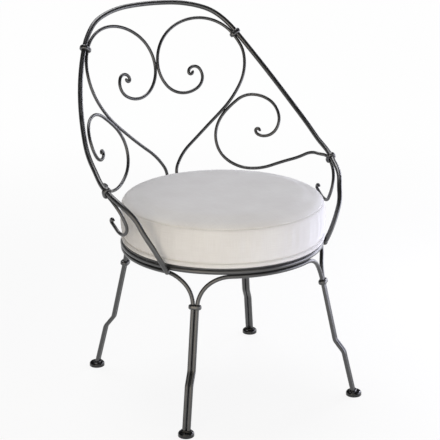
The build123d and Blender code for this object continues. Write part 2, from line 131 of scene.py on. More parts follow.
def add_node(
    tree: NodeTree, kind: str, inputs: dict[str | int, object] | None = None, **settings: object
) -> Node:
    """Adds a node with its settings, its input values and its links.

    Args:
        tree: The node tree that gets the node.
        kind: The node's Blender type name.
        inputs: Values, or sockets to link from, by input name or index.
        **settings: Properties of the node itself.

    Returns:
        The new node.
    """
    node = tree.nodes.new(kind)
    for name, value in settings.items():
        setattr(node, name, value)
    for key, value in (inputs or {}).items():
        if isinstance(value, NodeSocket):
            tree.links.new(value, node.inputs[key])
        else:
            node.inputs[key].default_value = value
    return node


def step(
    tree: NodeTree, kind: str, inputs: dict[str | int, object] | None = None, **settings: object
) -> NodeSocket:
    """Adds a node as add_node does, and returns its first output."""
    return add_node(tree, kind, inputs, **settings).outputs[0]


def noise(
    tree: NodeTree, place: NodeSocket, scale: float, detail: float, **settings: object
) -> NodeSocket:
    """Adds a noise of soft patches.

    Args:
        tree: The node tree that gets it.
        place: Where the noise is read.
        scale: Patches per unit of that place.
        detail: Number of finer layers.
        **settings: Properties of the node itself.

    Returns:
        The noise's value.
    """
    inputs = {"Vector": place, "Scale": scale, "Detail": detail}
    return add_node(tree, "ShaderNodeTexNoise", inputs, **settings).outputs["Fac"]


def blend(tree: NodeTree, share: NodeSocket, one: str, other: str) -> NodeSocket:
    """Mixes two colours.

    Args:
        tree: The node tree that gets the mix.
        share: Share of the other colour.
        one: A colour as "#rrggbb".
        other: The other colour.

    Returns:
        The mixed colour.
    """
    inputs = {0: share, 6: linear(one), 7: linear(other)}
    return add_node(tree, "ShaderNodeMix", inputs, data_type="RGBA").outputs[2]


def spread(
    tree: NodeTree,
    value: NodeSocket,
    span: tuple[float, float],
    result: tuple[float, float] = (0.0, 1.0),
    **settings: object,
) -> NodeSocket:
    """Maps a span of values to another, and holds it at its ends.

    Args:
        tree: The node tree that gets the map.
        value: The value to map.
        span: The values that give the two ends of the result.
        result: Those ends.
        **settings: Properties of the node itself.

    Returns:
        The mapped value.
    """
    inputs = {"Value": value, "From Min": span[0], "From Max": span[1]}
    inputs |= {"To Min": result[0], "To Max": result[1]}
    return step(tree, "ShaderNodeMapRange", inputs, **settings)


def combine(tree: NodeTree, operation: str, one: NodeSocket, other: NodeSocket) -> NodeSocket:
    """Joins two values by arithmetic.

    Args:
        tree: The node tree that gets the step.
        operation: Blender's name of the arithmetic.
        one: A value.
        other: The other value.

    Returns:
        The result.
    """
    return step(tree, "ShaderNodeMath", {0: one, 1: other}, operation=operation)


def relief(
    tree: NodeTree,
    height: NodeSocket,
    strength: float,
    depth_mm: float,
    over: NodeSocket | None = None,
) -> NodeSocket:
    """Adds a fine relief to a surface.

    Args:
        tree: The node tree that gets it.
        height: The relief's height.
        strength: Its strength, from 0 to 1.
        depth_mm: Its depth where the height changes by 1.
        over: A relief that it lies on, or None.

    Returns:
        The surface's new direction.
    """
    inputs = {"Height": height, "Strength": strength, "Distance": depth_mm * MM}
    if over is not None:
        inputs["Normal"] = over
    return step(tree, "ShaderNodeBump", inputs)


def new_piece(name: str, mesh: Mesh) -> Object:
    """Links a mesh into the scene as an object at the origin.

    Args:
        name: The object's name.
        mesh: Its mesh, with its place in the vertices.

    Returns:
        The new object.
    """
    obj = bpy.data.objects.new(name, mesh)
    bpy.context.scene.collection.objects.link(obj)
    return obj


def tube_piece(
    name: str, tubes: list[list[list[Vector]]], looped: bool, material: Material
) -> Object:
    """Makes a smooth piece of tubes, each drawn as rings of points.

    Args:
        name: The piece's name.
        tubes: Each tube's rings. A last ring of one point is a tip.
        looped: Whether a tube's last ring joins its first. Otherwise a face closes the first.
        material: The piece's finish.

    Returns:
        The piece.
    """
    shape = bmesh.new()
    for tube in tubes:
        rings = [[shape.verts.new(point) for point in ring] for ring in tube]
        if looped:
            rings.append(rings[0])
        else:
            shape.faces.new(rings[0])
        for one, other in zip(rings, rings[1:]):
            for i in range(len(one)):
                j = (i + 1) % len(one)
                corners = (one[i], one[j], other[j % len(other)], other[i % len(other)])
                shape.faces.new(list(dict.fromkeys(corners)))
    bmesh.ops.recalc_face_normals(shape, faces=shape.faces)
    mesh = bpy.data.meshes.new(name)
    shape.to_mesh(mesh)
    shape.free()
    mesh.materials.append(material)
    mesh.shade_smooth()
    return new_piece(name, mesh)


def seat_piece(piece: Object, body: Body) -> None:
    """Puts a finished piece on its body and logs its vertex count.

    Args:
        piece: The piece.
        body: The CAD body that it rides on.
    """
    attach(piece, body.value)
    log.info("%s: %d vertices", piece.name, len(piece.data.vertices))


@dataclass(frozen=True)
class Finish:
    """What every finish has.

    Attributes:
        name: The material's name.
    """

    name: str

    def material(self) -> Material:
        """Returns a new material with the finish."""
        material = bpy.data.materials.new(self.name)
        material.use_nodes = True
        tree = material.node_tree
        tree.nodes.clear()
        add_node(tree, "ShaderNodeOutputMaterial", {"Surface": self.shader(tree)})
        return material

    def shader(self, tree: NodeTree) -> NodeSocket:
        """Draws the finish in a material's empty node tree.

        Args:
            tree: The node tree.

        Returns:
            The shader's socket.
        """
        raise NotImplementedError


@dataclass(frozen=True)
class PowderCoat(Finish):
    """Satin anthracite powder coat with metal flake, baked on steel rod.

    The flake mirrors the surroundings more than plain paint does: grey where a rod faces the
    white floor, nearly black where it faces the dim ceiling. The coat flows as it melts, so its
    skin has a fine orange peel, and its tone and gloss drift a little along a rod.

    Attributes:
        deep: Colour where the coat is thickest.
        thin: Colour where it is thinnest.
        gloss: Lowest and highest roughness.
        flake_ior: Index of refraction that gives the flake's mirroring.
        peel_mm: Width of an orange-peel dimple, drawn coarser than the real 0.8 mm so that it shows.
        peel_relief: Strength of the dimples, and their depth in millimetres.
        drift_mm: Length over which tone and gloss change.
    """

    deep: str = "#0f1011"
    thin: str = "#1b1c1d"
    gloss: tuple[float, float] = (0.28, 0.40)
    flake_ior: float = 1.85
    peel_mm: float = 2.2
    peel_relief: tuple[float, float] = (0.06, 0.1)
    drift_mm: float = 18.0

    def shader(self, tree: NodeTree) -> NodeSocket:
        """Draws the coat, as Finish.shader says."""
        place = add_node(tree, "ShaderNodeTexCoord").outputs["Object"]
        drift = noise(tree, place, per_metre(self.drift_mm), detail=4.0)
        peel = noise(tree, place, per_metre(self.peel_mm), detail=2.0)
        return step(
            tree,
            "ShaderNodeBsdfPrincipled",
            {
                "Base Color": blend(tree, drift, self.deep, self.thin),
                "Roughness": spread(tree, drift, NOISE_SPAN, self.gloss),
                "Normal": relief(tree, peel, *self.peel_relief),
                "IOR": self.flake_ior,
            },
        )


@dataclass(frozen=True)
class MouldedPolyethylene(Finish):
    """Black polyethylene, injection moulded in a polished tool.

    It is nearly black with a clear highlight, dulled in patches by handling.

    Attributes:
        colour: The plastic's colour.
        scuffed: Its colour where it is rubbed.
        gloss: Lowest and highest roughness.
        scuff_mm: Width of a rubbed patch.
        scuff_relief: Strength of the rubbing, and its depth in millimetres.
        ior: The plastic's index of refraction.
    """

    colour: str = "#080809"
    scuffed: str = "#121213"
    gloss: tuple[float, float] = (0.12, 0.26)
    scuff_mm: float = 9.0
    scuff_relief: tuple[float, float] = (0.15, 0.1)
    ior: float = 1.51

    def shader(self, tree: NodeTree) -> NodeSocket:
        """Draws the plastic, as Finish.shader says."""
        place = add_node(tree, "ShaderNodeTexCoord").outputs["Object"]
        scuff = noise(tree, place, per_metre(self.scuff_mm), detail=6.0)
        return step(
            tree,
            "ShaderNodeBsdfPrincipled",
            {
                "Base Color": blend(tree, scuff, self.colour, self.scuffed),
                "Roughness": spread(tree, scuff, NOISE_SPAN, self.gloss),
                "Normal": relief(tree, scuff, *self.scuff_relief),
                "IOR": self.ior,
            },
        )


@dataclass(frozen=True)
class CottonCanvas(Finish):
    """Undyed cotton canvas in a plain weave.

    Matt and softly uneven: warp and weft make a fine grid, thicker slubs run along both, and the
    cloth's tone drifts over a hand's width.

    Attributes:
        pale: Colour of the cloth where slub and drift are low.
        shade: Its darker colour, in slubs and where the tone drifts darker.
        thread_mm: Thread spacing, drawn coarser than the real 0.6 mm so that it shows close up.
        thread_wander: How much a thread strays from its line.
        thread_relief: Strength of the weave, and its depth in millimetres.
        slub_mm: Width and length of a slub.
        slub_relief: Strength of the slubs, and their depth in millimetres.
        drift_mm: Length over which the cloth's tone changes.
        shade_span: Sums of slub and drift at which the shade starts and is full.
        uv_name: The UV map, in metres of flat cloth.
    """

    pale: str = "#e7e7e6"
    shade: str = "#e0dfde"
    thread_mm: float = 1.5
    thread_wander: float = 0.6
    thread_relief: tuple[float, float] = (0.06, 0.2)
    slub_mm: tuple[float, float] = (2.0, 38.0)
    slub_relief: tuple[float, float] = (0.08, 0.5)
    drift_mm: float = 90.0
    shade_span: tuple[float, float] = (0.45, 1.05)
    uv_name: str = "Cloth"

    def shader(self, tree: NodeTree) -> NodeSocket:
        """Draws the cloth, as Finish.shader says."""
        flat = add_node(tree, "ShaderNodeUVMap", uv_map=self.uv_name).outputs["UV"]
        threads = {
            "Vector": flat,
            "Scale": math.tau / (WAVE_PHASE_PER_UNIT * self.thread_mm * MM),
            "Distortion": self.thread_wander,
        }
        warp, weft = (
            add_node(tree, "ShaderNodeTexWave", threads, bands_direction=way).outputs["Fac"]
            for way in ("X", "Y")
        )
        weave = relief(tree, combine(tree, "ADD", warp, weft), *self.thread_relief)
        slub = self._slub(tree, flat)
        drift = noise(tree, flat, per_metre(self.drift_mm), detail=2.0, noise_dimensions="2D")
        shaded = spread(tree, combine(tree, "ADD", slub, drift), self.shade_span)
        return step(
            tree,
            "ShaderNodeBsdfPrincipled",
            {
                "Base Color": blend(tree, shaded, self.pale, self.shade),
                "Roughness": 0.92,
                "Normal": relief(tree, slub, *self.slub_relief, over=weave),
                "Specular IOR Level": 0.2,
                "Sheen Weight": 0.12,
                "Sheen Roughness": 0.5,
            },
        )

    def _slub(self, tree: NodeTree, flat: NodeSocket) -> NodeSocket:
        """Draws the thick places of both sets of threads.

        Args:
            tree: The material's node tree.
            flat: The place on the flat cloth.

        Returns:
            The thickness.
        """
        across, along = map(per_metre, self.slub_mm)
        runs = []
        for scale in ((across, along, 1.0), (along, across, 1.0)):
            drawn = step(tree, "ShaderNodeMapping", {"Vector": flat, "Scale": scale})
            runs.append(noise(tree, drawn, 1.0, detail=1.0, noise_dimensions="2D"))
        return combine(tree, "MULTIPLY", *runs)


@dataclass(frozen=True)
class SewingThread(Finish):
    """Spun polyester sewing thread, a little brighter than the cloth, with a twist.

    Attributes:
        colour: The thread's colour.
        shade: Its colour in the twist.
        twist_mm: Spacing of the twist, drawn coarser than the real 0.3 mm so that it shows.
        twist_relief: Strength of the twist, and its depth in millimetres.
        roughness: The thread's roughness.
    """

    colour: str = "#e6e3dc"
    shade: str = "#cbc7be"
    twist_mm: float = 0.7
    twist_relief: tuple[float, float] = (0.4, 0.1)
    roughness: float = 0.6

    def shader(self, tree: NodeTree) -> NodeSocket:
        """Draws the thread, as Finish.shader says."""
        place = add_node(tree, "ShaderNodeTexCoord").outputs["Object"]
        twist = noise(tree, place, per_metre(self.twist_mm), detail=1.0)
        return step(
            tree,
            "ShaderNodeBsdfPrincipled",
            {
                "Base Color": blend(tree, twist, self.colour, self.shade),
                "Roughness": self.roughness,
                "Normal": relief(tree, twist, *self.twist_relief),
            },
        )


@dataclass(frozen=True)
class StudioPaper(Finish):
    """Matt white paper on the studio floor, which keeps the chair's shadow.

    Attributes:
        colour: The paper's colour.
        glow: Share of plain white that the camera sees in it, under and far from the chair.
        glow_reach: Distances from the chair between which that share changes, in metres.
    """

    colour: str = "#f2f2f1"
    glow: tuple[float, float] = (0.88, 0.99)
    glow_reach: tuple[float, float] = (0.7, 2.6)

    def shader(self, tree: NodeTree) -> NodeSocket:
        """Draws the paper, as Finish.shader says."""
        place = add_node(tree, "ShaderNodeTexCoord").outputs["Object"]
        away = add_node(tree, "ShaderNodeVectorMath", {0: place}, operation="LENGTH")
        plain = spread(
            tree,
            away.outputs["Value"],
            self.glow_reach,
            self.glow,
            interpolation_type="SMOOTHSTEP",
        )
        share = combine(tree, "MULTIPLY", self._seen(tree), plain)
        paper = step(tree, "ShaderNodeBsdfDiffuse", {"Color": linear(self.colour)})
        white = step(tree, "ShaderNodeEmission", {"Strength": 1.0})
        return step(tree, "ShaderNodeMixShader", {0: share, 1: paper, 2: white})

    @staticmethod
    def _seen(tree: NodeTree) -> NodeSocket:
        """Adds a test for rays that show a surface rather than light one.

        Args:
            tree: The node tree that gets it.

        Returns:
            A socket that is 1 for camera, glossy and transmitted rays.
        """
        path = add_node(tree, "ShaderNodeLightPath").outputs
        mirrored = combine(tree, "MAXIMUM", path["Is Glossy Ray"], path["Is Transmission Ray"])
        return combine(tree, "MAXIMUM", path["Is Camera Ray"], mirrored)


@dataclass
class BeadRow:
    """Small rounded beads set close along paths, by Geometry Nodes.

    Stitches and weld ripples are both made this way.

    Attributes:
        name: The finished piece's name.
        pitch: Distance from bead to bead, in metres.
        bead: Half length along the path, half width and half height of a bead, in metres.
        unevenness: Largest share by which a bead's size differs from the others'.
        seed: Fixed seed of that unevenness.
        facets: Segments round a bead and rings along it.
    """

    name: str
    pitch: float
    bead: tuple[float, float, float]
    unevenness: float = 0.0
    seed: int = 3
    facets: tuple[int, int] = (8, 5)

    def build(self, paths: list[np.ndarray], closed: bool, material: Material) -> Object:
        """Sets the beads along paths and makes them one plain mesh.

        Args:
            paths: Each path's points, in metres.
            closed: Whether a path's last point joins its first.
            material: The beads' finish.

        Returns:
            The piece.
        """
        points, edges = [], []
        for path in paths:
            first = len(points)
            points += [tuple(map(float, p)) for p in path]
            edges += [(i, i + 1) for i in range(first, len(points) - 1)]
            if closed:
                edges.append((len(points) - 1, first))
        lines = bpy.data.meshes.new(self.name + "_path")
        lines.from_pydata(points, edges, [])
        carrier = new_piece(self.name + "_path", lines)
        tree, ids = self._tree()
        modifier = carrier.modifiers.new("beads", "NODES")
        modifier.node_group = tree
        for name, value in (
            ("Pitch", self.pitch),
            ("Bead", self.bead),
            ("Smallest", 1 - self.unevenness),
            ("Largest", 1 + self.unevenness),
            ("Seed", self.seed),
            ("Finish", material),
        ):
            modifier[ids[name]] = value
        shown = carrier.evaluated_get(bpy.context.evaluated_depsgraph_get())
        mesh = bpy.data.meshes.new_from_object(shown)
        mesh.name = self.name
        bpy.data.objects.remove(carrier)
        bpy.data.node_groups.remove(tree)
        mesh.shade_smooth()
        return new_piece(self.name, mesh)

    def _tree(self) -> tuple[NodeTree, dict[str, str]]:
        """Builds the node tree.

        Returns:
            The tree, and the identifiers of its inputs by name.
        """
        tree = bpy.data.node_groups.new(self.name + "_beads", "GeometryNodeTree")
        face = tree.interface
        ids = {}
        for name, kind in (
            ("Path", "NodeSocketGeometry"),
            ("Pitch", "NodeSocketFloat"),
            ("Bead", "NodeSocketVector"),
            ("Smallest", "NodeSocketFloat"),
            ("Largest", "NodeSocketFloat"),
            ("Seed", "NodeSocketInt"),
            ("Finish", "NodeSocketMaterial"),
        ):
            socket = face.new_socket(name, in_out="INPUT", socket_type=kind)
            ids[name] = socket.identifier
        face.new_socket("Beads", in_out="OUTPUT", socket_type="NodeSocketGeometry")
        given = add_node(tree, "NodeGroupInput").outputs
        curve = step(tree, "GeometryNodeMeshToCurve", {"Mesh": given["Path"]})
        spaced = step(
            tree,
            "GeometryNodeResampleCurve",
            {"Curve": curve, "Length": given["Pitch"]},
            mode="LENGTH",
        )
        tangent = step(tree, "GeometryNodeInputTangent")
        along = step(tree, "FunctionNodeAlignRotationToVector", {"Vector": tangent}, axis="X")
        size = add_node(
            tree,
            "FunctionNodeRandomValue",
            {2: given["Smallest"], 3: given["Largest"], "Seed": given["Seed"]},
            data_type="FLOAT",
        )
        grown = {0: given["Bead"], "Scale": size.outputs[1]}
        scale = step(tree, "ShaderNodeVectorMath", grown, operation="SCALE")
        facets = {"Segments": self.facets[0], "Rings": self.facets[1], "Radius": 1.0}
        bead = step(tree, "GeometryNodeMeshUVSphere", facets)
        placed = step(
            tree,
            "GeometryNodeInstanceOnPoints",
            {"Points": spaced, "Instance": bead, "Rotation": along, "Scale": scale},
        )
        solid = step(tree, "GeometryNodeRealizeInstances", {"Geometry": placed})
        coated = {"Geometry": solid, "Material": given["Finish"]}
        add_node(tree, "NodeGroupOutput", {"Beads": step(tree, "GeometryNodeSetMaterial", coated)})
        return tree, ids


@dataclass
class ArmToes:
    """The rounded tips of the two arm rods, dressed down past the seat ring.

    Attributes:
        bearing: An arm foot's bearing from the back, in degrees.
        lean: Its lean inwards as it runs down, in degrees.
        sweep: Its sweep forwards as it runs down, in degrees.
        tail: Length of the CAD rod past the ring's centre line, in metres.
        gap: Gap that the weld fills between the arm and the ring.
        rod: The arm rod's diameter.
        length: How far a tip runs on past the CAD rod.
        lap: How far it reaches back round the CAD rod.
        nose: Length of its rounded end.
        skin: How much thicker the coat is on the dressed tip.
        forward: How far a tip's end runs forward along the ring for each part that it runs down.
        sides: Points round a tip.
        steps: Rings of points on its rounded end.
    """

    bearing: float = 119.0
    lean: float = 28.0
    sweep: float = 15.0
    tail: float = 6.0 * MM
    gap: float = 0.2 * MM
    rod: float = 12.0 * MM
    length: float = 10.0 * MM
    lap: float = 2.0 * MM
    nose: float = 5.0 * MM
    skin: float = 0.05 * MM
    forward: float = 0.55
    sides: int = 28
    steps: int = 7

    def build(self, material: Material) -> Object:
        """Makes both tips as one piece.

        Args:
            material: The frame's finish.

        Returns:
            The piece.
        """
        tips = [self._rings(mirror) for mirror in (1.0, -1.0)]
        return tube_piece("arm_toes", tips, False, material)

    def _rings(self, mirror: float) -> list[list[Vector]]:
        """Places the rings of points along one tip.

        Args:
            mirror: 1 for the right arm, -1 for the left.

        Returns:
            The rings from the lap to the nose, and the point at the nose's end.
        """
        low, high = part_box("seat_ring")
        turn, lean = math.radians(self.bearing), math.radians(self.lean)
        out = Vector((math.sin(turn), math.cos(turn), 0.0))
        ahead = Vector((math.cos(turn), -math.sin(turn), 0.0))
        down = Vector((0.0, 0.0, -1.0))
        way = down - math.tan(lean) * out + math.tan(math.radians(self.sweep)) * ahead
        way.normalize()
        last = (down + self.forward * ahead).normalized()
        ring_rod = high.z - low.z
        reach = (high.x - low.x - ring_rod) / 2
        reach += ((ring_rod + self.rod) / 2 + self.gap) / math.cos(lean)
        end = (low + high) / 2 + reach * out + self.tail * way
        radius = self.rod / 2 + self.skin
        straight = self.length - self.nose
        places = [(-self.lap, radius), (0.0, radius), (straight, radius)]
        for i in range(1, self.steps + 1):
            angle = i / (self.steps + 1) * math.pi / 2
            places.append((straight + self.nose * math.sin(angle), radius * math.cos(angle)))
        rings = []
        for along, size in places:
            course = way.lerp(last, max(along, 0.0) / self.length).normalized()
            middle = end + along * way.lerp(course, 0.5).normalized()
            across = (out - out.dot(course) * course).normalized()
            beside = course.cross(across)
            rings.append([])
            for k in range(self.sides):
                spin = k / self.sides * math.tau
                turned = math.cos(spin) * across + math.sin(spin) * beside
                rings[-1].append(middle + size * turned)
        rings.append([end + self.length * way.lerp(last, 0.5).normalized()])
        return [[Vector((mirror * p.x, p.y, p.z)) for p in ring] for ring in rings]


@dataclass
class FootLips:
    """The raised lips moulded round the rods on top of the feet.

    Attributes:
        rod: A leg rod's diameter, in metres.
        apart: Distance between the middles of a leg's two rods.
        lean: How far a leg leans in for each part that it rises.
        ground: Height of the rods' ends above the ground.
        clearance: Gap between a rod and its lip.
        half_width: Half width of a lip.
        half_height: Half height of a lip, the lower part of it sunk in the foot.
        proud: Height of a lip's middle above the foot.
        around: Points round a lip.
        section: Points round its section.
    """

    rod: float = 10.0 * MM
    apart: float = 10.2 * MM
    lean: float = 0.25
    ground: float = 4.0 * MM
    clearance: float = 0.2 * MM
    half_width: float = 1.7 * MM
    half_height: float = 1.9 * MM
    proud: float = 0.3 * MM
    around: int = 48
    section: int = 12

    def build(self, material: Material) -> Object:
        """Makes the four lips as one piece.

        Args:
            material: The feet's finish.

        Returns:
            The piece.
        """
        lips = [self._rings(corner) for corner in CORNERS]
        return tube_piece("foot_lips", lips, True, material)

    def _rings(self, corner: str) -> list[list[Vector]]:
        """Places a lip's sections round the two rods of a leg.

        Args:
            corner: The leg's corner of the chair.

        Returns:
            The sections' points, in order round the lip.
        """
        ring_low, ring_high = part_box("seat_ring")
        low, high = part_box("foot_" + corner)
        up = Vector((0.0, 0.0, 1.0))
        out = (low + high - ring_low - ring_high) / 2
        out.z = 0.0
        out.normalize()
        beside = up.cross(out)
        middle = (low + high) / 2
        middle.z = high.z + self.proud
        middle -= self.lean * (high.z - self.ground) * out
        reach = self.rod / 2 + self.clearance + self.half_width
        half = self.around // 2
        rings = []
        for k in range(self.around):
            end = 1.0 if k < half else -1.0
            spin = (k % half / (half - 1) - 0.5) * math.pi
            facing = end * (math.cos(spin) * beside + math.sin(spin) * out)
            core = middle + end * self.apart / 2 * beside + reach * facing
            rings.append([])
            for i in range(self.section):
                turn = i / self.section * math.tau
                rings[-1].append(
                    core
                    + self.half_width * math.cos(turn) * facing
                    + self.half_height * math.sin(turn) * up
                )
        return rings


@dataclass
class SteelFrame:
    """The welded rod frame with its seat sheet and feet.

    Attributes:
        bead_radius: Radius of a weld's ripple, in metres.
        bead_pitch: Distance from ripple to ripple.
        unevenness: Largest share by which a ripple's size differs from the others'.
        weld_run: Half length of a weld where two rods touch side by side.
        weld_behind: How far behind their touch it lies.
        tack_run: Half length of a tack under the seat.
        weld_points: Points along either of them.
        arch_centres: Bearings of the four leg arches' middles, in degrees from the back.
        arch_tacks: Bearings of an arch's tacks from its middle.
        arch_tack_in: How far in from the ring's centre line they lie, as a share of its rod.
        arch_tack_up: Their height above the ring's underside.
        sheet_tacks: Number of tacks that hold the seat sheet.
        sheet_tack_in: How far in from the ring's centre line they lie, as a share of its rod.
        sheet_tack_down: Their depth below the ring's top.
        crossing_run: Half length of a weld where a rod crosses the ring.
        crossing_in: How far in from the touch it lies.
        crossing_rise: Its height from the ring's middle, as a share of the ring's rod.
        crossing_points: Points along it.
    """

    bead_radius: float = 2.1 * MM
    bead_pitch: float = 1.5 * MM
    unevenness: float = 0.12
    weld_run: float = 5.0 * MM
    weld_behind: float = 2.2 * MM
    tack_run: float = 9.0 * MM
    weld_points: int = 7
    arch_centres: tuple[float, ...] = (0.0, 89.25, 180.0, 270.75)
    arch_tacks: tuple[float, ...] = (-24.0, 0.0, 24.0)
    arch_tack_in: float = 0.36
    arch_tack_up: float = 0.4 * MM
    sheet_tacks: int = 12
    sheet_tack_in: float = 0.34
    sheet_tack_down: float = 1.2 * MM
    crossing_run: float = 3.0 * MM
    crossing_in: float = 0.6 * MM
    crossing_rise: float = 0.36
    crossing_points: int = 5

    def dress(self, nodes: dict[str, Object]) -> None:
        """Puts each CAD node's finish in its material slots, and adds welds, tips and lips.

        Args:
            nodes: The CAD nodes by name.
        """
        steel = PowderCoat("satin_anthracite_powder_coat").material()
        plastic = MouldedPolyethylene("moulded_black_polyethylene").material()
        for name, node in nodes.items():
            if name.startswith("cushion"):
                continue
            finish = plastic if name.startswith("foot") else steel
            for place in node.material_slots:
                place.material = finish
            if not node.material_slots:
                node.data.materials.append(finish)
            log.info("%s: %s", name, finish.name)
        welds = BeadRow(
            "weld_beads", self.bead_pitch, (self.bead_radius,) * 3, self.unevenness
        ).build(self._weld_paths(nodes), False, steel)
        seat_piece(welds, Body.FRAME)
        seat_piece(ArmToes().build(steel), Body.FRAME)
        seat_piece(FootLips().build(plastic), Body.FRAME)

    def _weld_paths(self, nodes: dict[str, Object]) -> list[np.ndarray]:
        """Finds where the frame's rods are welded together.

        Args:
            nodes: The CAD nodes by name.

        Returns:
            A short path for each weld.
        """
        low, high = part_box("seat_ring")
        axis = np.array([(low.x + high.x) / 2, (low.y + high.y) / 2, 0.0])
        rod = high.z - low.z
        middle = (low.z + high.z) / 2
        radius = (high.x - low.x) / 2 - rod / 2
        inner, level = radius - self.arch_tack_in * rod, low.z + self.arch_tack_up
        paths = [
            self._tack(axis, centre + turn, inner, level)
            for centre in self.arch_centres
            for turn in self.arch_tacks
        ]
        inner, level = radius - self.sheet_tack_in * rod, high.z - self.sheet_tack_down
        for i in range(self.sheet_tacks):
            paths.append(self._tack(axis, (i + 0.5) * 360 / self.sheet_tacks, inner, level))
        for side in SIDES:
            heart = nodes["heart_scroll_" + side]
            paths += self._crossing(axis, self._touch(heart, nodes["seat_ring"]), middle, rod)
            paths.append(self._seam(axis, self._touch(heart, nodes["side_scroll_" + side])))
        hearts = (nodes["heart_scroll_" + side] for side in SIDES)
        paths.append(self._seam(axis, self._touch(*hearts)))
        return paths

    @staticmethod
    def _touch(one: Object, other: Object) -> np.ndarray:
        """Finds where two rods come closest.

        Args:
            one: A rod's CAD node.
            other: The rod beside it.

        Returns:
            The point between them.
        """
        tree = KDTree(len(other.data.vertices))
        for i, vertex in enumerate(other.data.vertices):
            tree.insert(vertex.co, i)
        tree.balance()
        found = ((tree.find(v.co), v.co) for v in one.data.vertices)
        (there, _, _), here = min(found, key=lambda pair: pair[0][2])
        return (np.array(there) + np.array(here)) / 2

    @staticmethod
    def _outward(axis: np.ndarray, touch: np.ndarray) -> np.ndarray:
        """Returns the level direction from the seat's axis to a touch."""
        out = touch - axis
        out[2] = 0.0
        return out / np.linalg.norm(out)

    def _tack(self, axis: np.ndarray, bearing: float, radius: float, height: float) -> np.ndarray:
        """Lays a tack along the seat ring.

        Args:
            axis: The seat's axis.
            bearing: Bearing of the tack's middle, in degrees from the back.
            radius: Its distance from the axis.
            height: Its height.

        Returns:
            The tack's path.
        """
        span = self.tack_run / radius
        turns = math.radians(bearing) + np.linspace(-span, span, self.weld_points)
        level = np.full_like(turns, height)
        ring = [radius * np.sin(turns), radius * np.cos(turns), level]
        return axis + np.stack(ring, axis=1)

    def _crossing(
        self, axis: np.ndarray, touch: np.ndarray, middle: float, rod: float
    ) -> list[np.ndarray]:
        """Lays a weld above and one below the ring where a rod crosses it.

        Args:
            axis: The seat's axis.
            touch: Where the rod touches the ring.
            middle: Height of the ring's middle.
            rod: The ring's rod diameter.

        Returns:
            The two paths.
        """
        out = self._outward(axis, touch)
        along = np.array([-out[1], out[0], 0.0])
        steps = np.linspace(-self.crossing_run, self.crossing_run, self.crossing_points)
        foot = touch - self.crossing_in * out
        paths = []
        for way in (-1, 1):
            start = np.array([foot[0], foot[1], middle + way * self.crossing_rise * rod])
            paths.append(start + steps[:, None] * along)
        return paths

    def _seam(self, axis: np.ndarray, touch: np.ndarray) -> np.ndarray:
        """Lays a weld up the back of two rods that touch side by side.

        Args:
            axis: The seat's axis.
            touch: Where the rods touch.

        Returns:
            The weld's path.
        """
        start = touch + self.weld_behind * self._outward(axis, touch)
        steps = np.linspace(-self.weld_run, self.weld_run, self.weld_points)
        return start + steps[:, None] * np.array([0.0, 0.0, 1.0])


@dataclass
class FineCover:
    """The cushion's cover as rings of points, crowded beside its seams.

    Attributes:
        grid: Points by ring and place round it, in metres.
        panels: The panel of each band between rings.
        gap: Each ring's distance from the nearest seam.
        hang: Each ring's share of the side band's folds.
    """

    grid: np.ndarray
    panels: list[int]
    gap: np.ndarray
    hang: np.ndarray


